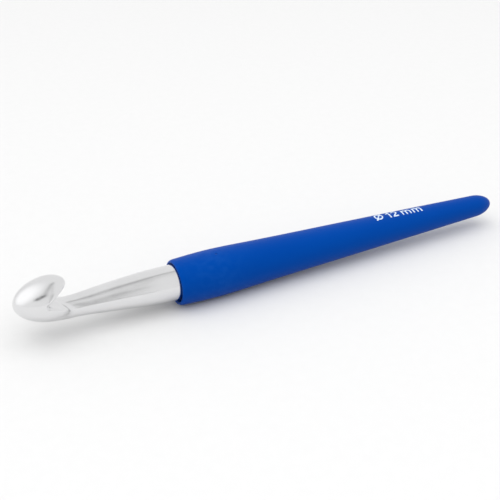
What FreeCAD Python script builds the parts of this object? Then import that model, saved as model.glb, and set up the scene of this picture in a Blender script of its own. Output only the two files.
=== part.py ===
import FreeCAD, Part
import math
import os

# A 12 mm crochet hook: a polished aluminium hook whose tang is held in a rigid handle core,
# with a soft sleeve moulded over the core and a size mark printed on the sleeve.
#
# Every size is in millimetres. While a shape is being made, x is the distance from the nose of
# the head along the handle's axis, z is the height above that axis and y is across it, and the
# mouth opens upwards. export() moves the finished shape into the part's own frame.

V = FreeCAD.Vector

# ---------------------------------------------------------------- driving dimensions
OVERALL_LENGTH = 150.0      # nose to tail
GAUGE = 12.0                # the yarn gauge: the head's largest diameter

# head: an egg of revolution, longer in front of its widest station than behind it
HEAD_RADIUS = GAUGE / 2
HEAD_WIDEST_X = 9.7
HEAD_REAR_LENGTH = 6.4
HEAD_CENTRE_Z = 5.1

# mouth: the slot under the lip, seen from the side
LIP_UNDERSIDE_SLOPE = math.radians(13.5)
UNDERCUT_FRONT = (8.2, 6.3)
UNDERCUT_MIDDLE = (10.3, 7.85)
UNDERCUT_REAR = (12.4, 8.7)
MOUTH_APEX = (7.75, 5.85)
MOUTH_APEX_LOWER = (8.1, 5.75)
MOUTH_FACET_END = (11.1, 4.35)
MOUTH_FLOOR_MIDDLE = (11.85, 4.15)
MOUTH_FLOOR_START = (12.6, 4.1)
MOUTH_FLOOR_END = (15.6, 4.3)
MOUTH_CLEAR_X = 22.0
MOUTH_CLEAR_Z = 5.6
LIP_EDGE_RADIUS = 0.22

# cheeks, throat and shank: round sections given as (x, centre z, radius)
BODY_SECTIONS = [
    (HEAD_WIDEST_X, HEAD_CENTRE_Z, HEAD_RADIUS),
    (11.0, 4.2, 5.4),
    (12.4, 1.9, 3.55),
    (13.8, 1.15, 3.05),
    (15.5, 1.0, 3.02),
    (20.8, 0.95, 3.45),
    (30.5, 0.7, 4.35),
    (37.2, 0.45, 4.84),
    (41.5, 0.32, 4.94),
    (45.2, 0.3, 4.95),
]
SHANK_END_X = BODY_SECTIONS[-1][0]
SEAM_ANGLE = 270.0          # every round surface has its seam along the underside

# tang: the part of the hook that the handle core grips
TANG_RADIUS = 3.0
TANG_END_X = 92.0
TANG_CHAMFER = 0.8
TANG_FLAT_HALF_WIDTH = 2.4
TANG_FLAT_START_X = 58.0
TANG_FLAT_LENGTH = 12.0
TANG_GROOVE_X = (50.0, 76.0, 84.0)
TANG_GROOVE_WIDTH = 2.0
TANG_GROOVE_DEPTH = 0.6

# sleeve: outer profile given as (x, radius), from behind the front lip to the tail
GRIP_LARGEST_RADIUS = 6.7
SLEEVE_PROFILE = [
    (45.0, 6.42),
    (54.0, GRIP_LARGEST_RADIUS),
    (66.8, 6.28),
    (89.4, 5.4),
    (113.3, 4.5),
    (144.0, 3.3),
]
SLEEVE_FRONT_X = 43.85
SLEEVE_LIP_CREST_RADIUS = 5.8
SLEEVE_LIP_INNER_ROUND = 0.35
SLEEVE_WALL = 1.2
RECESS_RADIUS = 5.45

# core: follows the sleeve one wall thickness inside it
CORE_END_X = 143.0
CORE_END_ROUND = 1.2
CORE_GROOVE_COUNT = 6
CORE_GROOVE_FIRST_X = 54.0
CORE_GROOVE_PITCH = 16.0
CORE_GROOVE_WIDTH = 3.0
CORE_GROOVE_DEPTH = 0.5

# size mark: strokes of ink, read from the head towards the tail
INK_THICKNESS = 0.06
INK_STROKE = 0.42
INK_HEIGHT = 2.8
INK_LOWER_CASE_HEIGHT = 2.0
INK_START_X = 107.6
INK_GAP = 0.75
INK_WORD_GAP = 1.4
SLASH_OVERHANG = 1.12       # how far the diameter sign's slash reaches, as a share of half its height
SLASH_LEAN = 0.8            # its reach across, as a share of its reach in height
ONE_WIDTH = 1.1
ONE_FLAG_DROP = 0.85
TWO_WIDTH = 1.8
TWO_BOW_START = -38.0       # degrees
TWO_BOW_END = 170.0
TWO_SLANT_START = -35.0
M_ARCH_WIDTH = 1.35
STROKE_OVERLAP = 0.05       # strokes of one glyph reach this far into each other

X_AXIS = V(1, 0, 0)
SMALL = 0.05                # closer than this counts as the same place
SURFACE_TOLERANCE = 0.001


# ---------------------------------------------------------------- helpers
def export(shape, node):
    """Moves a finished shape into the part's frame and writes it as one STEP file."""
    placed = shape.copy()
    placed.translate(V(-OVERALL_LENGTH / 2, 0, GRIP_LARGEST_RADIUS))
    placed.exportStep("parts/" + node + ".step")


def cylinder(radius, x_start, x_end):
    """A solid cylinder on the handle's axis."""
    return Part.makeCylinder(radius, x_end - x_start, V(x_start, 0, 0), X_AXIS)


def block(x_range, y_range, z_range):
    """A box given by its three ranges."""
    (x0, x1), (y0, y1), (z0, z1) = x_range, y_range, z_range
    return Part.makeBox(x1 - x0, y1 - y0, z1 - z0, V(x0, y0, z0))


def turned(edges, centre_z=0.0):
    """The solid that a closed outline in (x, radius) makes when it is turned about its axis."""
    face = Part.Face(Part.Wire(edges))
    face.rotate(V(0, 0, 0), X_AXIS, SEAM_ANGLE)
    solid = face.revolve(V(0, 0, 0), X_AXIS, 360)
    solid.translate(V(0, 0, centre_z))
    return solid


def line(start, end):
    """A straight edge between two (x, radius) points."""
    return Part.makeLine(V(start[0], start[1], 0), V(end[0], end[1], 0))


def ring(inner_radius, outer_radius, x_start, width):
    """A square-sectioned ring round the handle's axis."""
    outside = cylinder(outer_radius, x_start, x_start + width)
    return outside.cut(cylinder(inner_radius, x_start, x_start + width))


# ---------------------------------------------------------------- hook
def head_egg():
    """The head before the mouth is cut: two half ellipsoids that share their widest circle."""
    centre = V(HEAD_WIDEST_X, 0, 0)
    front = Part.ArcOfEllipse(
        Part.Ellipse(centre, HEAD_WIDEST_X, HEAD_RADIUS), math.pi / 2, math.pi
    )
    rear = Part.ArcOfEllipse(
        Part.Ellipse(centre, HEAD_REAR_LENGTH, HEAD_RADIUS), 0, math.pi / 2
    )
    axis = line((0, 0), (HEAD_WIDEST_X + HEAD_REAR_LENGTH, 0))
    return turned([rear.toShape(), front.toShape(), axis], HEAD_CENTRE_Z)


def cheeks_and_shank():
    """The round body that narrows from the head to the throat and widens to the handle."""
    wires = []
    for x, centre_z, radius in BODY_SECTIONS:
        centre = V(x, 0, centre_z)
        section = Part.makeCircle(radius, centre, X_AXIS)
        section.rotate(centre, X_AXIS, SEAM_ANGLE)
        wires.append(Part.Wire([section]))
    return Part.makeLoft(wires, True, False)


def side_point(pair):
    """A point of the mouth's outline, drawn in the plane of symmetry."""
    return V(pair[0], 0, pair[1])


def mouth_space():
    """The space under and behind the lip: a slot with one outline right across the head."""
    run = MOUTH_CLEAR_X - UNDERCUT_REAR[0]
    lip_exit = (MOUTH_CLEAR_X, UNDERCUT_REAR[1] + run * math.tan(LIP_UNDERSIDE_SLOPE))
    clear = (MOUTH_CLEAR_X, MOUTH_CLEAR_Z)
    p = side_point
    edges = [
        Part.makeLine(p(lip_exit), p(UNDERCUT_REAR)),
        Part.Arc(p(UNDERCUT_REAR), p(UNDERCUT_MIDDLE), p(UNDERCUT_FRONT)).toShape(),
        Part.Arc(p(UNDERCUT_FRONT), p(MOUTH_APEX), p(MOUTH_APEX_LOWER)).toShape(),
        Part.makeLine(p(MOUTH_APEX_LOWER), p(MOUTH_FACET_END)),
        Part.Arc(p(MOUTH_FACET_END), p(MOUTH_FLOOR_MIDDLE), p(MOUTH_FLOOR_START)).toShape(),
        Part.makeLine(p(MOUTH_FLOOR_START), p(MOUTH_FLOOR_END)),
        Part.makeLine(p(MOUTH_FLOOR_END), p(clear)),
        Part.makeLine(p(clear), p(lip_exit)),
    ]
    face = Part.Face(Part.Wire(edges))
    face.translate(V(0, -2 * HEAD_RADIUS, 0))
    return face.extrude(V(0, 4 * HEAD_RADIUS, 0))


def tang():
    """The rod inside the handle, with ring grooves against pulling and flats against turning."""
    rod = cylinder(TANG_RADIUS, SHANK_END_X, TANG_END_X)
    end_edges = [e for e in rod.Edges if abs(e.CenterOfMass.x - TANG_END_X) < SMALL]
    rod = rod.makeChamfer(TANG_CHAMFER, end_edges)
    for x in TANG_GROOVE_X:
        bottom = TANG_RADIUS - TANG_GROOVE_DEPTH
        rod = rod.cut(ring(bottom, 2 * TANG_RADIUS, x, TANG_GROOVE_WIDTH))
    flat_x = (TANG_FLAT_START_X, TANG_FLAT_START_X + TANG_FLAT_LENGTH)
    half_height = (-TANG_RADIUS, TANG_RADIUS)
    for side in (-1, 1):
        edges_y = sorted((side * TANG_FLAT_HALF_WIDTH, side * 2 * TANG_RADIUS))
        rod = rod.cut(block(flat_x, edges_y, half_height))
    return rod


def lip_edges(shape):
    """The edges where the lip's underside meets the outside of the head."""
    found = []
    for edge in shape.Edges:
        box = edge.BoundBox
        in_mouth = box.XMin > MOUTH_APEX[0] and box.XMax < MOUTH_FLOOR_END[0] + SMALL
        along_lip = box.XLength > SMALL and box.ZMin > UNDERCUT_FRONT[1] - SMALL
        if in_mouth and along_lip:
            found.append(edge)
    return found


def make_hook():
    """Head, lip, mouth, throat, shank and tang as one piece of metal."""
    mouth_middle = (UNDERCUT_FRONT[1] + MOUTH_APEX[1]) / 2
    below_lip = block(
        (HEAD_WIDEST_X, MOUTH_CLEAR_X),
        (-2 * HEAD_RADIUS, 2 * HEAD_RADIUS),
        (-2 * HEAD_RADIUS, mouth_middle),
    )
    space = mouth_space()
    head = head_egg().cut(below_lip).cut(space)
    pieces = cheeks_and_shank().cut(space).Solids
    shank = min(pieces, key=lambda piece: piece.CenterOfMass.z)
    metal = head.multiFuse([shank, tang()]).Solids[0]
    return metal.makeFillet(LIP_EDGE_RADIUS, lip_edges(metal)).Solids[0]


# ---------------------------------------------------------------- handle
def outline_curve(offset, x_end):
    """The sleeve's long outline as one smooth edge, moved inwards by the offset."""
    points = [V(x, radius - offset, 0) for x, radius in SLEEVE_PROFILE if x < x_end]
    last_x, last_radius = SLEEVE_PROFILE[-1]
    before_x, before_radius = SLEEVE_PROFILE[-2]
    share = (x_end - before_x) / (last_x - before_x)
    end_radius = before_radius + share * (last_radius - before_radius)
    points.append(V(x_end, end_radius - offset, 0))
    curve = Part.BSplineCurve()
    curve.interpolate(points)
    return curve.toShape(), points[0], points[-1]


def sleeve_envelope():
    """The whole handle's outside as one turned solid, with its rounded lip and domed tail."""
    long_edge, start, end = outline_curve(0.0, SLEEVE_PROFILE[-1][0])
    dome_length = OVERALL_LENGTH - end.x
    dome = Part.ArcOfEllipse(
        Part.Ellipse(V(end.x, 0, 0), dome_length, end.y), 0, math.pi / 2
    )
    crest = V(SLEEVE_FRONT_X, SLEEVE_LIP_CREST_RADIUS, 0)
    lip = Part.ArcOfEllipse(
        Part.Ellipse(V(start.x, crest.y, 0), start.x - crest.x, start.y - crest.y),
        math.pi / 2,
        math.pi,
    )
    edges = [
        line((SLEEVE_FRONT_X, 0), (crest.x, crest.y)),
        lip.toShape(),
        long_edge,
        dome.toShape(),
        line((OVERALL_LENGTH, 0), (SLEEVE_FRONT_X, 0)),
    ]
    return turned(edges)


def recess_space():
    """The narrow ring-shaped space between the shank and the sleeve's lip."""
    bore = cylinder(RECESS_RADIUS, SLEEVE_FRONT_X, SHANK_END_X)
    flare_length = SLEEVE_LIP_INNER_ROUND
    flare = Part.makeCone(
        RECESS_RADIUS + SLEEVE_LIP_INNER_ROUND,
        RECESS_RADIUS,
        flare_length,
        V(SLEEVE_FRONT_X, 0, 0),
        X_AXIS,
    )
    return bore.fuse(flare)


def core_envelope():
    """The core's outside, with the ring grooves that key the sleeve to it."""
    long_edge, start, end = outline_curve(SLEEVE_WALL, CORE_END_X)
    round_start = (CORE_END_X, end.y)
    corner = (CORE_END_X + CORE_END_ROUND, end.y - CORE_END_ROUND)
    edges = [
        line((start.x, 0), (start.x, start.y)),
        long_edge,
        line(round_start, corner),
        line(corner, (corner[0], 0)),
        line((corner[0], 0), (start.x, 0)),
    ]
    solid = turned(edges)
    front = cylinder(2 * GRIP_LARGEST_RADIUS, SLEEVE_FRONT_X, SHANK_END_X)
    solid = solid.cut(front)
    for i in range(CORE_GROOVE_COUNT):
        x = CORE_GROOVE_FIRST_X + i * CORE_GROOVE_PITCH
        bottom = sleeve_radius(x) - SLEEVE_WALL - CORE_GROOVE_DEPTH
        solid = solid.cut(ring(bottom, 2 * GRIP_LARGEST_RADIUS, x, CORE_GROOVE_WIDTH))
    return solid


def sleeve_radius(x):
    """The sleeve's outer radius at one station, by straight lines between its points."""
    for (x0, r0), (x1, r1) in zip(SLEEVE_PROFILE, SLEEVE_PROFILE[1:]):
        if x0 <= x <= x1:
            return r0 + (r1 - r0) * (x - x0) / (x1 - x0)
    return SLEEVE_PROFILE[-1][1]


# ---------------------------------------------------------------- size mark
def stroke(start, end):
    """A straight stroke with square ends, as a flat face seen from above."""
    direction = V(end[0] - start[0], end[1] - start[1], 0)
    length = direction.Length
    side = V(-direction.y, direction.x, 0) * (INK_STROKE / 2 / length)
    a = V(start[0], start[1], 0)
    b = V(end[0], end[1], 0)
    corners = [a + side, b + side, b - side, a - side, a + side]
    return Part.Face(Part.makePolygon(corners))


def arc_stroke(centre, radius, start_degrees, end_degrees):
    """A curved stroke: a part of a ring, as a flat face seen from above."""
    outer = radius + INK_STROKE / 2
    inner = radius - INK_STROKE / 2
    a = math.radians(start_degrees)
    b = math.radians(end_degrees)

    def at(r, angle):
        return V(r * math.cos(angle), r * math.sin(angle), 0)

    middle = (a + b) / 2
    edges = [
        Part.Arc(at(outer, a), at(outer, middle), at(outer, b)).toShape(),
        Part.makeLine(at(outer, b), at(inner, b)),
        Part.Arc(at(inner, b), at(inner, middle), at(inner, a)).toShape(),
        Part.makeLine(at(inner, a), at(outer, a)),
    ]
    face = Part.Face(Part.Wire(edges))
    face.translate(V(centre[0], centre[1], 0))
    return face


def glyph_diameter(x):
    """The diameter sign: a ring crossed by a slanting stroke."""
    half = INK_HEIGHT / 2
    radius = half - INK_STROKE / 2
    rise = half * SLASH_OVERHANG
    run = rise * SLASH_LEAN
    middle = x + half
    faces = [
        arc_stroke((middle, half), radius, 0, 180),
        arc_stroke((middle, half), radius, 180, 360),
        stroke((middle - run, half - rise), (middle + run, half + rise)),
    ]
    return faces, INK_HEIGHT


def glyph_one(x):
    """The figure one: a stem and a short flag."""
    stem_x = x + ONE_WIDTH - INK_STROKE / 2
    faces = [
        stroke((stem_x, 0), (stem_x, INK_HEIGHT)),
        stroke((x, INK_HEIGHT - ONE_FLAG_DROP), (stem_x, INK_HEIGHT - INK_STROKE / 2)),
    ]
    return faces, ONE_WIDTH


def glyph_two(x):
    """The figure two: a bow, a slanting stroke and a foot."""
    radius = (TWO_WIDTH - INK_STROKE) / 2
    centre = (x + TWO_WIDTH / 2, INK_HEIGHT - TWO_WIDTH / 2)
    slant = math.radians(TWO_SLANT_START)
    slant_top = (centre[0] + radius * math.cos(slant), centre[1] + radius * math.sin(slant))
    faces = [
        arc_stroke(centre, radius, TWO_BOW_START, TWO_BOW_END),
        stroke(slant_top, (x + INK_STROKE / 2, INK_STROKE / 2)),
        stroke((x, INK_STROKE / 2), (x + TWO_WIDTH, INK_STROKE / 2)),
    ]
    return faces, TWO_WIDTH


def glyph_m(x):
    """The letter m: a stem and two arches."""
    radius = M_ARCH_WIDTH / 2
    shoulder = INK_LOWER_CASE_HEIGHT - radius - INK_STROKE / 2
    first = x + INK_STROKE / 2
    faces = [stroke((first, 0), (first, INK_LOWER_CASE_HEIGHT))]
    for i in range(2):
        centre_x = first + M_ARCH_WIDTH * i + radius
        faces.append(arc_stroke((centre_x, shoulder), radius, 0, 180))
        faces.append(stroke((centre_x + radius, 0), (centre_x + radius, shoulder + STROKE_OVERLAP)))
    return faces, 2 * M_ARCH_WIDTH + INK_STROKE


def make_size_mark(sleeve_outside):
    """The printed gauge: thin ink that lies on the top of the sleeve."""
    x = 0.0
    glyphs = []
    for make, gap in (
        (glyph_diameter, INK_WORD_GAP),
        (glyph_one, INK_GAP),
        (glyph_two, INK_WORD_GAP),
        (glyph_m, INK_GAP),
        (glyph_m, INK_GAP),
    ):
        faces, width = make(x)
        prisms = [face.extrude(V(0, 0, 2 * GRIP_LARGEST_RADIUS)) for face in faces]
        glyphs.append(prisms[0].multiFuse(prisms[1:]))
        x += width + gap
    skin = sleeve_outside.makeOffsetShape(INK_THICKNESS, SURFACE_TOLERANCE)
    solids = []
    for glyph in glyphs:
        glyph.translate(V(INK_START_X, -INK_HEIGHT / 2, 0))
        layer = glyph.common(skin).cut(sleeve_outside).removeSplitter()
        solids.extend(layer.Solids)
    return Part.makeCompound(solids)


# ---------------------------------------------------------------- the four pieces
os.makedirs("parts", exist_ok=True)

hook = make_hook()
sleeve_outside = sleeve_envelope()
core_outside = core_envelope()
handle_core = core_outside.cut(hook)
grip_sleeve = sleeve_outside.cut(core_outside).cut(recess_space()).cut(hook)
size_mark = make_size_mark(sleeve_outside)

export(hook, "hook")
export(handle_core, "handle_core")
export(grip_sleeve, "grip_sleeve")
export(size_mark, "size_mark")

for name, shape in (
    ("hook", hook),
    ("handle_core", handle_core),
    ("grip_sleeve", grip_sleeve),
    ("size_mark", size_mark),
):
    box = shape.BoundBox
    print(name, shape.isValid(), len(shape.Solids), round(shape.Volume, 1), box)
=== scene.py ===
import math

import bpy
import numpy as np
import openvdb
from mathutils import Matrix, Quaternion, Vector


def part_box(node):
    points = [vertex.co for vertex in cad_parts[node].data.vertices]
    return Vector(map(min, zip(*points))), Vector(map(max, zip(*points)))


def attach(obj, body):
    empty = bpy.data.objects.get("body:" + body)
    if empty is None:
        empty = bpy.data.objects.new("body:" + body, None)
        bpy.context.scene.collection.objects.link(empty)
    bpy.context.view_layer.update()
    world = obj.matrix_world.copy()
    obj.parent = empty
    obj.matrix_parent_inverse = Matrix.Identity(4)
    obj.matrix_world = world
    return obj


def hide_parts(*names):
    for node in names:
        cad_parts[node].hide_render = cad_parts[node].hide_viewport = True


# A 12 mm crochet hook with a polished aluminium working end and a soft blue grip.
#
# Shapes are drawn in millimetres: x runs from the nose along the handle, y across it, and z is
# the height above the handle's axis. in_frame() turns a drawn point into metres in the CAD frame.

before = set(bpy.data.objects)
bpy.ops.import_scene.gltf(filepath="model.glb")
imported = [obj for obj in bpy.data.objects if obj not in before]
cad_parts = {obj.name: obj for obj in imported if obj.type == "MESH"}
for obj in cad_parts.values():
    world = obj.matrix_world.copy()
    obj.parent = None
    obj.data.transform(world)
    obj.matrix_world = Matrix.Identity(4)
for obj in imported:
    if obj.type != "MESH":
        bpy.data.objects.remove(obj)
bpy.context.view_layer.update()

MM = 0.001
NOSE_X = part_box("hook")[0].x
GRIP_LOW, GRIP_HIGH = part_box("grip_sleeve")
AXIS_Z = (GRIP_LOW.z + GRIP_HIGH.z) / 2
OVERALL_LENGTH = (GRIP_HIGH.x - NOSE_X) / MM

# ---------------------------------------------------------------- sizes, in millimetres
# head: an egg, longer in front of its widest station than behind it
HEAD_RADIUS = 6.0
HEAD_WIDEST_X = 9.7
HEAD_REAR_LENGTH = 6.4
HEAD_CENTRE_Z = 5.1
NOSE_EXPONENT = 1.9         # of the head's front half, where 2 is a plain ellipse
REAR_EXPONENT = 2.0

# mouth: the slot under the lip, seen from the side
LIP_UNDERSIDE_SLOPE = math.radians(13.5)
UNDERCUT_FRONT = (8.2, 6.3)
UNDERCUT_MIDDLE = (10.4, 7.92)
UNDERCUT_REAR = (12.6, 8.8)
MOUTH_APEX = (7.75, 5.85)
MOUTH_APEX_LOWER = (8.1, 5.75)
MOUTH_FACET_END = (11.1, 4.35)
MOUTH_FLOOR_MIDDLE = (11.85, 4.15)
MOUTH_FLOOR_START = (12.6, 4.1)
MOUTH_FLOOR_END = (15.6, 4.3)
MOUTH_CLEAR = (22.0, 5.6)
ARC_STEPS = 10
MOUTH_EDGE_ROUND = 1.0      # how softly the mouth's edges are rounded off

# cheeks: behind the mouth's ramp a steep wall drops to a shoulder beside the shank. The wall is
# swept forward and the shoulder slopes down towards +Y. The shoulder ends on a leaning face.
CHEEK_WALL_X = 11.05        # where the steep wall crosses the plane of symmetry
CHEEK_WALL_SWEEP = 0.4      # how far it runs forward for each millimetre towards +Y
SHOULDER_RIDGE_Z = 4.3
SHOULDER_SLOPE = math.radians(21.4)
SHOULDER_END = (11.6, 4.0)
SHOULDER_END_LEAN = 1.06    # how far the end runs back for each millimetre that it drops
CHEEK_FILLET = 1.4          # how softly the wall, the shoulder and its end meet
CHEEK_EDGE_ROUND = 0.35     # how softly they cut the head's surface
HEAD_BLEND = 1.2            # how softly the head runs into the shank

# shank: round sections given as (x, centre z, radius), from inside the head to the handle
SHANK_SECTIONS = [
    (6.0, 2.2, 2.2),
    (9.7, 1.3, 2.75),
    (12.6, 1.0, 2.95),
    (15.5, 0.98, 3.0),
    (20.8, 0.95, 3.45),
    (30.5, 0.7, 4.35),
    (37.2, 0.45, 4.84),
    (41.5, 0.32, 4.94),
    (45.2, 0.3, 4.95),
]
SHANK_START_X = SHANK_SECTIONS[0][0]
SHANK_END_X = SHANK_SECTIONS[-1][0]

# tang: the rod inside the handle
TANG_RADIUS = 3.0
TANG_END_X = 92.0
TANG_GROOVE_X = (50.0, 76.0, 84.0)
TANG_GROOVE_WIDTH = 2.0
TANG_GROOVE_DEPTH = 0.6
TANG_FLAT_X = (58.0, 70.0)
TANG_FLAT_HALF_WIDTH = 2.4

# sleeve: outer profile given as (x, radius), from behind the front lip to the tail
SLEEVE_PROFILE = [
    (45.2, 6.42),
    (54.0, 6.7),
    (66.8, 6.28),
    (89.4, 5.4),
    (113.3, 4.5),
    (144.0, 3.3),
]
TAIL_END_RADIUS = 3.08      # the long taper's radius if it ran on to the tail's end
SLEEVE_FRONT_X = 43.85
SLEEVE_LIP_CREST_RADIUS = 5.8
SLEEVE_LIP_INNER_ROUND = 0.35
SLEEVE_WALL = 1.2
RECESS_RADIUS = 5.45
CORE_END_X = 143.0
CORE_END_ROUND = 1.2


# ---------------------------------------------------------------- small helpers
def in_frame(points):
    """Drawn points in millimetres as points in metres in the CAD frame."""
    return np.asarray(points) * MM + np.array([NOSE_X, 0.0, AXIS_Z])


def spline(stations, values):
    """A cubic spline with continuous curvature through the values, as a function of x."""
    x = np.array(stations, float)
    y = np.array(values, float)
    n = len(x)
    step = np.diff(x)
    rise = np.diff(y) / step
    matrix = np.eye(n)
    right = np.zeros(n)
    for i in range(1, n - 1):
        matrix[i, i - 1 : i + 2] = step[i - 1], 2 * (step[i - 1] + step[i]), step[i]
        right[i] = 6 * (rise[i] - rise[i - 1])
    bend = np.linalg.solve(matrix, right)

    def value(at):
        at = np.clip(at, x[0], x[-1])
        i = np.clip(np.searchsorted(x, at) - 1, 0, n - 2)
        h = step[i]
        before = (x[i + 1] - at) / h
        after = 1 - before
        cubic = (before**3 - before) * bend[i] + (after**3 - after) * bend[i + 1]
        return before * y[i] + after * y[i + 1] + cubic * h**2 / 6

    return value


def arc(start, middle, end):
    """Points along the circular arc through three points, from start to just before end."""
    a, b, c = (complex(*point) for point in (start, middle, end))
    w = (c - a) / (b - a)
    centre = (b - a) * (w - abs(w) ** 2) / (2j * w.imag) + a
    radius = abs(a - centre)
    turn = np.angle((b - centre) / (a - centre)) + np.angle((c - centre) / (b - centre))
    angles = np.angle(a - centre) + turn * np.arange(ARC_STEPS) / ARC_STEPS
    return [
        (centre.real + radius * math.cos(angle), centre.imag + radius * math.sin(angle))
        for angle in angles
    ]


def mouth_outline():
    """The mouth's closed outline in the plane of symmetry, as (x, z) points."""
    run = MOUTH_CLEAR[0] - UNDERCUT_REAR[0]
    lip_exit = (MOUTH_CLEAR[0], UNDERCUT_REAR[1] + run * math.tan(LIP_UNDERSIDE_SLOPE))
    return [
        lip_exit,
        *arc(UNDERCUT_REAR, UNDERCUT_MIDDLE, UNDERCUT_FRONT),
        *arc(UNDERCUT_FRONT, MOUTH_APEX, MOUTH_APEX_LOWER),
        MOUTH_APEX_LOWER,
        *arc(MOUTH_FACET_END, MOUTH_FLOOR_MIDDLE, MOUTH_FLOOR_START),
        MOUTH_FLOOR_START,
        MOUTH_FLOOR_END,
        MOUTH_CLEAR,
    ]


# ---------------------------------------------------------------- the hook as a distance field
MOUTH = mouth_outline()
section_x, section_z, section_r = zip(*SHANK_SECTIONS)
shank_centre = spline(section_x, section_z)
shank_radius = spline(section_x, section_r)
SLOPE_STEP = 0.05
SMALL = 1e-6


def slope(curve, x):
    """The slope of a curve at x."""
    return (curve(x + SLOPE_STEP) - curve(x - SLOPE_STEP)) / (2 * SLOPE_STEP)


def mouth_distance(x, z):
    """Distance to the mouth's outline, negative inside the mouth."""
    nearest = np.inf
    inside = False
    for (x0, z0), (x1, z1) in zip(MOUTH, MOUTH[1:] + MOUTH[:1]):
        dx, dz = x1 - x0, z1 - z0
        along = np.clip(((x - x0) * dx + (z - z0) * dz) / (dx**2 + dz**2), 0, 1)
        away = (x - x0 - along * dx) ** 2 + (z - z0 - along * dz) ** 2
        nearest = np.minimum(nearest, away)
        if dz != 0:
            spans = (z0 > z) != (z1 > z)
            inside = inside ^ (spans & (x < x0 + (z - z0) * dx / dz))
    return np.where(inside, -1, 1) * np.sqrt(nearest)


def egg_distance(x, y, z, half_length, exponent):
    """Distance to an egg of the head's width, with the given half length and fullness."""
    u = abs(x - HEAD_WIDEST_X) / half_length
    v = np.hypot(y, z - HEAD_CENTRE_Z) / HEAD_RADIUS
    size = np.maximum((u**exponent + v**exponent) ** (1 / exponent), SMALL)
    along = (u / size) ** (exponent - 1) / half_length
    across = (v / size) ** (exponent - 1) / HEAD_RADIUS
    return (size - 1) / np.hypot(along, across)


def shank_distance(x, y, z):
    """Distance to the round shank, which starts inside the head."""
    height = z - shank_centre(x)
    out = np.hypot(y, height)
    lean = slope(shank_radius, x) + slope(shank_centre, x) * height / np.maximum(out, SMALL)
    side = (out - shank_radius(x)) / np.sqrt(1 + lean**2)
    return np.maximum(side, np.maximum(x - SHANK_END_X, SHANK_START_X - x))


def tang_distance(x, y, z):
    """Distance to the rod inside the handle, with its ring grooves and flats."""
    radius = TANG_RADIUS
    for start in TANG_GROOVE_X:
        in_groove = (x > start) & (x < start + TANG_GROOVE_WIDTH)
        radius = np.where(in_groove, TANG_RADIUS - TANG_GROOVE_DEPTH, radius)
    rod = np.maximum(np.hypot(y, z) - radius, x - TANG_END_X)
    on_flat = (x > TANG_FLAT_X[0]) & (x < TANG_FLAT_X[1])
    rod = np.where(on_flat, np.maximum(rod, abs(y) - TANG_FLAT_HALF_WIDTH), rod)
    return np.maximum(rod, SHANK_END_X - 1 - x)


def joined(first, second, softness):
    """The union of two distances, with a fillet where they meet."""
    close = np.maximum(softness - abs(first - second), 0)
    return np.minimum(first, second) - close**2 / (4 * softness)


def hook_distance(x, y, z):
    """Distance to the whole hook's surface, negative inside the metal."""
    front = egg_distance(x, y, z, HEAD_WIDEST_X, NOSE_EXPONENT)
    rear = egg_distance(x, y, z, HEAD_REAR_LENGTH, REAR_EXPONENT)
    head = np.where(x < HEAD_WIDEST_X, front, rear)

    # what stays of the head below the mouth
    wall = x - CHEEK_WALL_X + y * CHEEK_WALL_SWEEP
    top = (z - SHOULDER_RIDGE_Z) * math.cos(SHOULDER_SLOPE) + y * math.sin(SHOULDER_SLOPE)
    end = x - SHOULDER_END[0] + (z - SHOULDER_END[1]) * SHOULDER_END_LEAN
    shoulder = -joined(-top, -end / math.hypot(1, SHOULDER_END_LEAN), CHEEK_FILLET)
    kept = joined(wall / math.hypot(1, CHEEK_WALL_SWEEP), shoulder, CHEEK_FILLET)
    kept = np.minimum(kept, MOUTH_APEX[1] - z)
    head = -joined(-head, -kept, CHEEK_EDGE_ROUND)

    metal = joined(head, shank_distance(x, y, z), HEAD_BLEND)
    carved = -joined(-metal, mouth_distance(x, z), MOUTH_EDGE_ROUND)
    return np.minimum(carved, tang_distance(x, y, z))


# ---------------------------------------------------------------- meshes
def new_piece(name, points, faces, node, material, normals=None):
    """A smooth mesh piece in the CAD frame that stands for a CAD node."""
    mesh = bpy.data.meshes.new(name)
    mesh.from_pydata(in_frame(points).tolist(), [], faces)
    mesh.update()
    mesh.shade_smooth()
    if normals is not None:
        mesh.normals_split_custom_set_from_vertices(normals.tolist())
    piece = bpy.data.objects.new(name, mesh)
    bpy.context.scene.collection.objects.link(piece)
    piece.data.materials.append(material)
    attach(piece, "root")
    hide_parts(node)


FIELD_STEP = 0.16
FIELD_MARGIN = 0.8
FIELD_BOTTOM_Z = -5.6
FIELD_TOP_Z = 12.0
FIELD_LOW = np.array([-FIELD_MARGIN, -HEAD_RADIUS - FIELD_MARGIN, FIELD_BOTTOM_Z])
FIELD_HIGH = np.array([TANG_END_X + FIELD_MARGIN, HEAD_RADIUS + FIELD_MARGIN, FIELD_TOP_Z])
RELAX_ROUNDS = 6
GRADIENT_STEP = 0.02
LEAST_STEEPNESS = 0.05      # keeps a step short where the field is nearly level


def gradient(points):
    """The distance field's gradient at each point."""
    columns = []
    for axis in np.eye(3) * GRADIENT_STEP:
        ahead = hook_distance(*(points + axis).T)
        behind = hook_distance(*(points - axis).T)
        columns.append((ahead - behind) / (2 * GRADIENT_STEP))
    return np.stack(columns, axis=1)


def onto_surface(points):
    """The points moved along the gradient onto the surface."""
    slopes = gradient(points)
    steepness = np.maximum((slopes**2).sum(axis=1), LEAST_STEEPNESS)
    move = hook_distance(*points.T) / steepness
    return points - np.clip(move, -FIELD_STEP, FIELD_STEP)[:, None] * slopes


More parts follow.
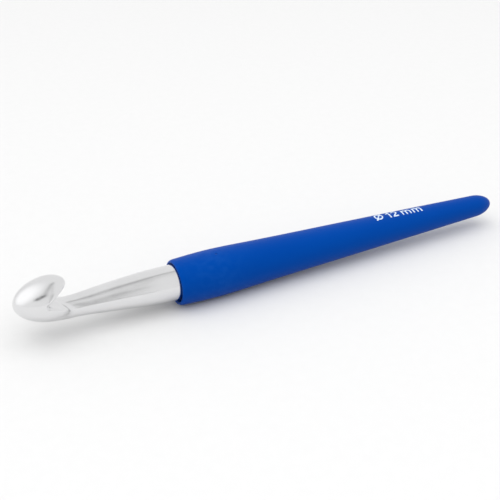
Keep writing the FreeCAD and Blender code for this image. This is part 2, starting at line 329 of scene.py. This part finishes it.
def relaxed(points, quads):
    """The points evened out over the surface: each moves towards its neighbours' middle."""
    pairs = np.concatenate([quads[:, [i, (i + 1) % 4]] for i in range(4)])
    count = np.bincount(pairs[:, 0], minlength=len(points))
    for _ in range(RELAX_ROUNDS):
        total = np.zeros_like(points)
        np.add.at(total, pairs[:, 0], points[pairs[:, 1]])
        points = onto_surface((points + total / count[:, None]) / 2)
    return points


def hook_mesh():
    """The hook's surface as evenly spread quads, with its exact directions at the points."""
    counts = np.ceil((FIELD_HIGH - FIELD_LOW) / FIELD_STEP).astype(int)
    x, y, z = (FIELD_LOW[i] + FIELD_STEP * np.arange(counts[i]) for i in range(3))
    field = hook_distance(x[:, None, None], y[None, :, None], z[None, None, :])
    grid = openvdb.FloatGrid(FIELD_MARGIN)
    grid.copyFromArray(field.astype(np.float32))
    points, quads = grid.convertToQuads()
    points = relaxed(FIELD_LOW + points.astype(float) * FIELD_STEP, quads)
    outward = gradient(points)
    return points, quads, outward / np.linalg.norm(outward, axis=1)[:, None]


sleeve_x, sleeve_r = zip(*SLEEVE_PROFILE)
sleeve_radius = spline(sleeve_x, sleeve_r)
TURN_STEPS = 256
TAIL_STEPS = 32
LIP_STEPS = 19
LIP_INNER_STEPS = 7
RECESS_STEPS = 6
OUTSIDE_STEP = 0.5
INSIDE_STEP = 1.0


def tail_point(angle):
    """A point (x, radius) of the domed tail: 0 degrees is the tail's end."""
    tail_x, tail_r = SLEEVE_PROFILE[-1]
    run = math.cos(math.radians(angle))
    taper = tail_r + (TAIL_END_RADIUS - tail_r) * run
    return tail_x + (OVERALL_LENGTH - tail_x) * run, taper * math.sin(math.radians(angle))


def quarter(centre, reach, start, steps):
    """Points (x, radius) along a quarter of an ellipse, from a start angle in degrees."""
    points = []
    for angle in np.radians(np.linspace(start, start + 90, steps + 1)):
        x = centre[0] + reach[0] * math.cos(angle)
        points.append((x, centre[1] + reach[1] * math.sin(angle)))
    return points


def sleeve_outline():
    """The sleeve's half section as (x, radius) points, from the tail round the lip and back."""
    tail_x = SLEEVE_PROFILE[-1][0]
    front_x, front_r = SLEEVE_PROFILE[0]
    crest = SLEEVE_LIP_CREST_RADIUS
    lip_reach = (front_x - SLEEVE_FRONT_X, front_r - crest)
    inner_round = SLEEVE_LIP_INNER_ROUND
    inner_centre = (SLEEVE_FRONT_X + inner_round, RECESS_RADIUS + inner_round)
    recess = np.linspace(SLEEVE_FRONT_X + OUTSIDE_STEP, SHANK_END_X, RECESS_STEPS)
    inside = np.arange(SHANK_END_X, CORE_END_X, INSIDE_STEP)
    inner_end = sleeve_radius(CORE_END_X) - SLEEVE_WALL
    points = [tail_point(angle) for angle in np.linspace(0, 90, TAIL_STEPS + 1)[:-1]]
    points += [(x, sleeve_radius(x)) for x in np.arange(tail_x, front_x, -OUTSIDE_STEP)]
    points += quarter((front_x, crest), lip_reach, 90, LIP_STEPS)
    points += quarter(inner_centre, (inner_round, inner_round), 180, LIP_INNER_STEPS)[1:]
    points += [(x, RECESS_RADIUS) for x in recess]
    points += [(x, sleeve_radius(x) - SLEEVE_WALL) for x in inside]
    points += [(CORE_END_X, inner_end), (CORE_END_X + CORE_END_ROUND, inner_end - CORE_END_ROUND)]
    points.append((CORE_END_X + CORE_END_ROUND, 0.0))
    return points


def turned(outline):
    """A closed mesh of revolution about the handle's axis; the outline starts and ends on it."""
    rings = outline[1:-1]
    turns = 2 * math.pi * np.arange(TURN_STEPS) / TURN_STEPS
    points = [(outline[0][0], 0, 0)]
    for x, radius in rings:
        points += [(x, radius * math.sin(a), radius * math.cos(a)) for a in turns]
    points.append((outline[-1][0], 0, 0))
    faces = []
    for k in range(TURN_STEPS):
        after = (k + 1) % TURN_STEPS
        faces.append((0, 1 + k, 1 + after))
        for i in range(len(rings) - 1):
            here = 1 + i * TURN_STEPS
            there = here + TURN_STEPS
            faces.append((here + k, there + k, there + after, here + after))
        last = 1 + (len(rings) - 1) * TURN_STEPS
        faces.append((last + after, last + k, len(points) - 1))
    return points, faces


# ---------------------------------------------------------------- materials
class Surface:
    """A material whose look is worked out from places on the object, in millimetres."""

    def __init__(self, name, colour, roughness, metallic=0.0):
        self.material = bpy.data.materials.new(name)
        self.material.use_nodes = True
        self.nodes = self.material.node_tree.nodes
        self.links = self.material.node_tree.links
        self.shader = self.nodes["Principled BSDF"]
        self.shader.inputs["Base Color"].default_value = (*colour, 1)
        self.shader.inputs["Roughness"].default_value = roughness
        self.shader.inputs["Metallic"].default_value = metallic
        self.place = self.nodes.new("ShaderNodeTexCoord").outputs["Object"]

    def node(self, kind, settings=None, **inputs):
        """A new node with its settings. Inputs, named or as i and a number, are set or linked."""
        made = self.nodes.new(kind)
        for key, value in (settings or {}).items():
            setattr(made, key, value)
        for key, value in inputs.items():
            numbered = key[0] == "i" and key[1:].isdigit()
            socket = made.inputs[int(key[1:]) if numbered else key.replace("_", " ")]
            if isinstance(value, bpy.types.NodeSocket):
                self.links.new(value, socket)
            else:
                socket.default_value = value
        return made

    def noise(self, size_mm, stretch=(1, 1, 1), detail=2.0):
        """Noise from 0 to 1 whose grains are about size_mm, longer where stretch is smaller."""
        scale = [s / (size_mm * MM) for s in stretch]
        scaled = self.node("ShaderNodeMapping", Vector=self.place, Scale=scale)
        made = self.node("ShaderNodeTexNoise", Vector=scaled.outputs[0], Scale=1.0, Detail=detail)
        return made.outputs["Fac"]

    def spread(self, value, low, high, to_low, to_high):
        """The value moved from one range to another and kept inside it."""
        made = self.node(
            "ShaderNodeMapRange",
            Value=value,
            From_Min=low,
            From_Max=high,
            To_Min=to_low,
            To_Max=to_high,
        )
        return made.outputs[0]

    def mix(self, share, first, second):
        """A colour between two colours."""
        made = self.node("ShaderNodeMix", {"data_type": "RGBA"}, i0=share, i6=first, i7=second)
        return made.outputs[2]

    def math(self, operation, first, second):
        """Two values joined by one operation."""
        return self.node("ShaderNodeMath", {"operation": operation}, i0=first, i1=second).outputs[0]

    def set(self, socket, value):
        """Links a worked-out value to one of the shader's inputs."""
        self.links.new(value, self.shader.inputs[socket])

    def zone(self, centre, reach):
        """1 at a distance behind the nose, falling to 0 at a reach before and behind it."""
        x = self.node("ShaderNodeSeparateXYZ", Vector=self.place).outputs[0]
        away = self.math("ABSOLUTE", self.math("SUBTRACT", x, NOSE_X + centre * MM), 0.0)
        return self.spread(away, 0.0, reach * MM, 1.0, 0.0)

    def spot(self, point, inner, outer):
        """1 within the inner radius of a drawn point and 0 beyond the outer one."""
        centre = in_frame(point).tolist()
        away = self.node("ShaderNodeVectorMath", {"operation": "DISTANCE"}, i0=self.place, i1=centre)
        return self.spread(away.outputs["Value"], inner * MM, outer * MM, 1.0, 0.0)

    def bump(self, height, depth_mm, below=None):
        """A bump of the given depth, added on top of the bump below it."""
        made = self.node("ShaderNodeBump", Strength=1.0, Distance=depth_mm * MM, Height=height)
        if below is not None:
            self.links.new(below, made.inputs["Normal"])
        self.set("Normal", made.outputs[0])
        return made.outputs[0]


def grey(value, blue=0.0):
    """A near-neutral colour, a little bluer by the given amount."""
    return (value, value, value + blue, 1)


YARN_ZONE_X = 12.0          # the middle of the metal that the yarn rubs
YARN_ZONE_REACH = 8.0


def polished_aluminium():
    """Polished aluminium with faint rings, rubbed smoother where the yarn runs."""
    surface = Surface("satin_metal", (0.76, 0.76, 0.77), 0.24, metallic=1.0)
    cloud = surface.noise(6.0)
    rings = surface.noise(0.12, (1.0, 0.05, 0.05))
    grain = surface.noise(0.25)
    scuffs = surface.noise(0.5, (0.3, 1, 1), 4.0)
    yarn_worn = surface.zone(YARN_ZONE_X, YARN_ZONE_REACH)
    surface.set("Base Color", surface.mix(cloud, grey(0.72, 0.008), grey(0.8, 0.008)))
    satin = surface.spread(cloud, 0.35, 0.65, 0.17, 0.21)
    satin = surface.math("ADD", satin, surface.spread(rings, 0.3, 0.7, -0.02, 0.03))
    rubbed = surface.math("MULTIPLY", yarn_worn, surface.spread(scuffs, 0.4, 0.6, 0.0, 0.04))
    surface.set("Roughness", surface.math("SUBTRACT", satin, rubbed))
    below = surface.bump(grain, 0.0004)
    surface.bump(rings, 0.0003, below)
    return surface.material


HANDLED_X = 54.0            # the middle of the grip that the fingers hold
HANDLED_REACH = 12.0
RIM_REACH = 1.2
GATE_MARK_X = 56.0          # the speck that moulding leaves on the grip
GATE_MARK_TURN = math.radians(9)


def gate_mark_point():
    """The gate mark's place on the sleeve, turned from the top towards -Y."""
    radius = float(sleeve_radius(GATE_MARK_X))
    return GATE_MARK_X, -radius * math.sin(GATE_MARK_TURN), radius * math.cos(GATE_MARK_TURN)


def soft_grip():
    """Satin soft-touch rubber with a fine moulded texture, paler where it is handled."""
    surface = Surface("satin_rubber", (0.0, 0.06, 0.36), 0.45)
    cloud = surface.noise(9.0, (0.4, 1, 1))
    grain = surface.noise(0.18)
    surface.shader.inputs["Specular IOR Level"].default_value = 0.08
    surface.shader.inputs["Specular Tint"].default_value = (0.1, 0.5, 1.0, 1)
    held = surface.zone(HANDLED_X, HANDLED_REACH)
    handled = surface.math("MAXIMUM", held, surface.zone(SLEEVE_FRONT_X, RIM_REACH))
    blotches = surface.spread(surface.noise(2.0), 0.4, 0.65, 0.0, 1.0)
    patches = surface.math("MULTIPLY", handled, blotches)
    colour = surface.mix(cloud, (0.0, 0.042, 0.27, 1), (0.0, 0.05, 0.3, 1))
    colour = surface.mix(surface.math("MULTIPLY", patches, 0.25), colour, (0.01, 0.075, 0.34, 1))
    gate = surface.spot(gate_mark_point(), 0.25, 0.45)
    colour = surface.mix(surface.math("MULTIPLY", gate, 0.5), colour, (0.0, 0.02, 0.14, 1))
    surface.set("Base Color", colour)
    satin = surface.spread(grain, 0.3, 0.7, 0.4, 0.5)
    surface.set("Roughness", surface.math("SUBTRACT", satin, surface.math("MULTIPLY", patches, 0.04)))
    below = surface.bump(grain, 0.004)
    surface.bump(surface.math("SUBTRACT", 1.0, gate), 0.06, below)
    return surface.material


def core_plastic_painted_shade():
    """Rigid plastic, seen only at the bottom of the recess; its near-black blue is painted shade for
    the recess around the shank.
    """
    # the near-black colours below paint the shade at the bottom of the recess onto the core's face
    surface = Surface("dark_painted_shade_plastic", (0.004, 0.012, 0.07), 0.5)
    grain = surface.noise(0.3)
    surface.set("Base Color", surface.mix(grain, (0.002, 0.008, 0.05, 1), (0.005, 0.018, 0.09, 1)))
    surface.set("Roughness", surface.spread(grain, 0.3, 0.7, 0.45, 0.6))
    surface.bump(grain, 0.004)
    return surface.material


def mark_ink():
    """Pale printing ink, thinner here and there."""
    surface = Surface("pale_ink", (0.62, 0.7, 0.8), 0.5)
    thin = surface.spread(surface.noise(0.35), 0.42, 0.6, 0.0, 1.0)
    surface.set("Base Color", surface.mix(thin, (0.66, 0.74, 0.82, 1), (0.36, 0.47, 0.64, 1)))
    surface.set("Roughness", surface.spread(thin, 0.0, 1.0, 0.45, 0.6))
    surface.bump(thin, 0.004)
    return surface.material


def floor_card():
    """Plain pale studio card."""
    surface = Surface("floor_card", (0.66, 0.66, 0.66), 0.8)
    grain = surface.noise(3.0)
    surface.set("Base Color", surface.mix(grain, grey(0.65), grey(0.67)))
    return surface.material


# ---------------------------------------------------------------- the object
hook_points, hook_quads, hook_normals = hook_mesh()
new_piece(
    "hook_metal",
    hook_points,
    hook_quads.tolist(),
    "hook",
    polished_aluminium(),
    hook_normals,
)
sleeve_points, sleeve_faces = turned(sleeve_outline())
new_piece("grip_skin", sleeve_points, sleeve_faces, "grip_sleeve", soft_grip())
# the core gets plastic coloured near-black as painted shade for the recess; the mark gets ink
for node, material in (("handle_core", core_plastic_painted_shade()), ("size_mark", mark_ink())):
    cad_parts[node].data.materials.clear()
    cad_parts[node].data.materials.append(material)

# ---------------------------------------------------------------- floor, light and camera
FLOOR_SIZE = 6.0            # metres
CAMERA_AZIMUTH = math.radians(-26.589)
CAMERA_ELEVATION = math.radians(30.395)
CAMERA_DISTANCE = 0.2823    # metres
CAMERA_ROLL = math.radians(0.1)
CAMERA_TARGET = (67.53, 1.41, 3.46)     # a drawn point
LENS = 72.7
SENSOR = 36.0
CLIP_START = 0.01           # metres


def make_floor():
    """A wide pale floor that the grip's bulge touches."""
    bpy.ops.mesh.primitive_grid_add(x_subdivisions=2, y_subdivisions=2, size=FLOOR_SIZE)
    floor = bpy.context.object
    floor.name = "floor"
    floor.data.materials.append(floor_card())


def make_camera():
    """The camera, looking down at the hook from its nose end."""
    back = Vector((
        math.sin(CAMERA_AZIMUTH) * math.cos(CAMERA_ELEVATION),
        -math.cos(CAMERA_AZIMUTH) * math.cos(CAMERA_ELEVATION),
        math.sin(CAMERA_ELEVATION),
    ))
    data = bpy.data.cameras.new("camera")
    data.lens = LENS
    data.sensor_width = SENSOR
    data.clip_start = CLIP_START
    camera = bpy.data.objects.new("camera", data)
    camera.location = Vector(in_frame(CAMERA_TARGET)) + back * CAMERA_DISTANCE
    facing = back.to_track_quat("Z", "Y") @ Quaternion((0, 0, 1), CAMERA_ROLL)
    camera.rotation_euler = facing.to_euler()
    bpy.context.scene.collection.objects.link(camera)
    bpy.context.scene.camera = camera


SKY = 0.93
SOFTBOX = (-105, 40)        # azimuth and elevation in degrees
SOFTBOX_SPREAD = (10, 54)   # fully bright inside the first angle, gone beyond the second
SOFTBOX_STRENGTH = 0.4
# stands round the table, seen as dark lines in the metal. Each has its corners, the half widths
# at which it is fully dark and gone, and the share of light that it lets through.
DARK_LINES = [
    ([(-36, 33), (-22, 44), (-12, 49)], (3, 8), 0.1),
    ([(-12, 49), (-7, 65), (29, 80), (121, 76), (123, 62)], (1, 6), 0.5),
    ([(2, 8), (5, 27), (10, 43)], (1, 5), 0.5),
    ([(10, 43), (20, 60), (40, 69), (100, 73)], (1, 4), 0.78),
    ([(0, 2), (9, 0)], (1, 5), 0.4),
]
LINE_END_FADE = 4.0         # degrees
KEY_HEIGHT = 1.0            # metres
KEY_SIZE = 1.6
KEY_POWER = 10.0
KEY_PLACE = (-0.1, -0.25)


def toward(azimuth, elevation):
    """The direction at an azimuth, measured from -Y towards +X, and an elevation, in degrees."""
    a, e = math.radians(azimuth), math.radians(elevation)
    return Vector((math.sin(a) * math.cos(e), -math.cos(a) * math.cos(e), math.sin(e)))


class Sky:
    """The world's light, worked out from the direction of view."""

    def __init__(self):
        world = bpy.data.worlds.new("studio")
        world.use_nodes = True
        bpy.context.scene.world = world
        self.nodes = world.node_tree.nodes
        self.links = world.node_tree.links
        self.way = self.nodes.new("ShaderNodeTexCoord").outputs["Generated"]

    def ramp(self, value, edge, middle, low, high, kind="SMOOTHSTEP"):
        """A step from low at the edge's value to high at the middle's, soft unless told."""
        made = self.nodes.new("ShaderNodeMapRange")
        made.interpolation_type = kind
        for socket, number in zip(list(made.inputs)[1:5], (edge, middle, low, high)):
            socket.default_value = number
        self.links.new(value, made.inputs["Value"])
        return made.outputs[0]

    def along(self, direction):
        """How far the view points along a direction, from -1 to 1."""
        dot = self.nodes.new("ShaderNodeVectorMath")
        dot.operation = "DOT_PRODUCT"
        dot.inputs[1].default_value = direction
        self.links.new(self.way, dot.inputs[0])
        return dot.outputs["Value"]

    def join(self, operation, *values):
        """Values joined by one operation."""
        made = self.nodes.new("ShaderNodeMath")
        made.operation = operation
        for value, socket in zip(values, made.inputs):
            self.links.new(value, socket)
        return made.outputs[0]

    def strip(self, start, end, half_widths, light_left):
        """The light left by a dark strip between two directions: 1 is all of it."""
        a, b = toward(*start), toward(*end)
        inner, outer = (math.sin(math.radians(width)) for width in half_widths)
        aside = self.join("ABSOLUTE", self.along(a.cross(b).normalized()))
        across = self.ramp(aside, outer, inner, 0, 1)
        reach = a.angle(b) / 2
        edge = math.cos(reach + math.radians(LINE_END_FADE))
        within = self.ramp(self.along((a + b).normalized()), edge, math.cos(reach), 0, 1)
        return self.ramp(self.join("MULTIPLY", across, within), 0, 1, 1, light_left, "LINEAR")

    def set_strength(self, strength):
        """White light of the worked-out strength."""
        background = self.nodes["Background"]
        background.inputs["Color"].default_value = (1, 1, 1, 1)
        self.links.new(strength, background.inputs["Strength"])


def make_sky():
    """An even pale surrounding with one large soft light and the dark lines of the stands."""
    sky = Sky()
    inner, outer = (math.cos(math.radians(angle)) for angle in SOFTBOX_SPREAD)
    strength = sky.ramp(sky.along(toward(*SOFTBOX)), outer, inner, SKY, SKY + SOFTBOX_STRENGTH)
    strips = [
        sky.strip(start, end, half_widths, light_left)
        for corners, half_widths, light_left in DARK_LINES
        for start, end in zip(corners, corners[1:])
    ]
    darkest = strips[0]
    for strip in strips[1:]:
        darkest = sky.join("MINIMUM", darkest, strip)
    sky.set_strength(sky.join("MULTIPLY", strength, darkest))


def make_key_light():
    """A large soft light overhead, which the metal does not reflect."""
    data = bpy.data.lights.new("key", "AREA")
    data.size = KEY_SIZE
    data.energy = KEY_POWER
    key = bpy.data.objects.new("key", data)
    key.location = (*KEY_PLACE, KEY_HEIGHT)
    key.rotation_euler = Vector(key.location).to_track_quat("Z", "Y").to_euler()
    key.visible_glossy = False
    bpy.context.scene.collection.objects.link(key)


make_floor()
make_camera()
make_sky()
make_key_light()
bpy.context.scene.view_settings.view_transform = "Standard"
